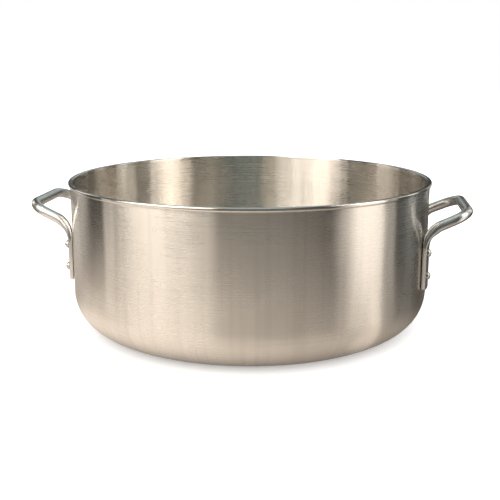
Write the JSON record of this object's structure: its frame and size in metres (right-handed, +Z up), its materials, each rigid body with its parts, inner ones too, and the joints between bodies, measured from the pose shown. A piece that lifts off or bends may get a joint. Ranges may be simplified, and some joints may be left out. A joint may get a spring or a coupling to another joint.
{
  "type": "brew kettle",
  "caption": "Wide, shallow open kettle with a rounded bottom corner, a thick rounded rim and riveted loop handles, for heating and boiling liquid.",
  "frame": {"origin": "centre of the flat base's underside, at the middle of the kettle", "axes": "+Z up out of the kettle's mouth, +X out through the middle of the right handle, -Y the front"},
  "size_m": [0.5436, 0.449, 0.1842],
  "materials": {
    "body_aluminium": "satin",
    "handle_aluminium": "gloss",
    "rivet_aluminium": "satin"
  },
  "bodies": {
    "root": {"kettle_body": "body_aluminium", "left_handle": "handle_aluminium", "right_handle": "handle_aluminium", "rivet_left_front_lower": "rivet_aluminium", "rivet_left_front_upper": "rivet_aluminium", "rivet_left_rear_lower": "rivet_aluminium", "rivet_left_rear_upper": "rivet_aluminium", "rivet_right_front_lower": "rivet_aluminium", "rivet_right_front_upper": "rivet_aluminium", "rivet_right_rear_lower": "rivet_aluminium", "rivet_right_rear_upper": "rivet_aluminium"}
  },
  "joints": []
}
